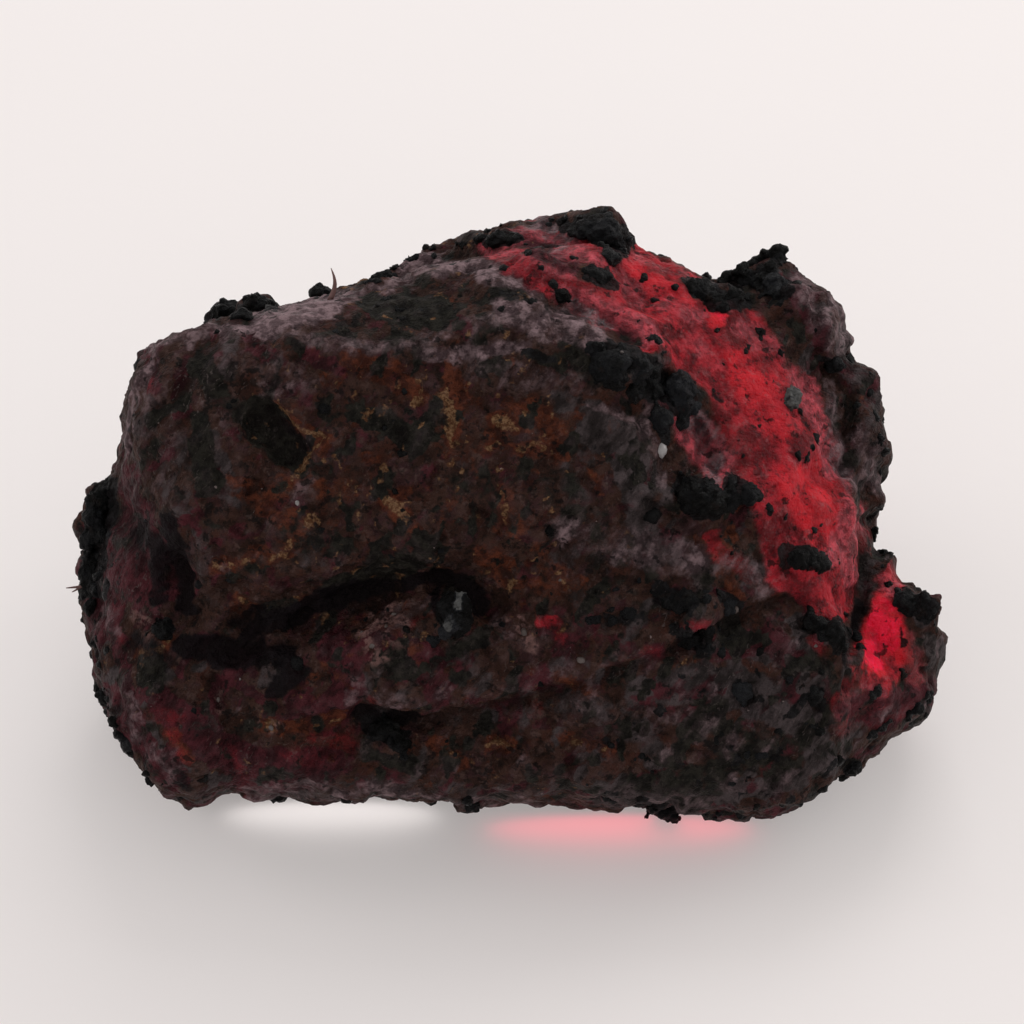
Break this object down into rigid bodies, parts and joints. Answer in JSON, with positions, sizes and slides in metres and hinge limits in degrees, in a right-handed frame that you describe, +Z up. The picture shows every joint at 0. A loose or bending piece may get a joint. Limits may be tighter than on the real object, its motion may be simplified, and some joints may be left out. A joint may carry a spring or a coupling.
{
  "type": "raw ruby crystal",
  "caption": "Loose raw ruby crystal: a blunt rounded prism with shoulder lobes and a side crystal at one end, black mineral grains grown into its skin, and a flat parting face to rest on.",
  "frame": {"origin": "middle of the bounding box in X and Y, on the flat parting face that the stone rests on", "axes": "+X along the crystal towards the small side crystal, its longest extent; +Y to the back; +Z up, its shortest extent"},
  "size_m": [0.0242, 0.0166, 0.0141],
  "materials": {
    "ruby": "rough natural crystal skin, dark red and translucent, with black mineral grains"
  },
  "bodies": {
    "root": {"ruby_crystal": "ruby"}
  },
  "joints": []
}
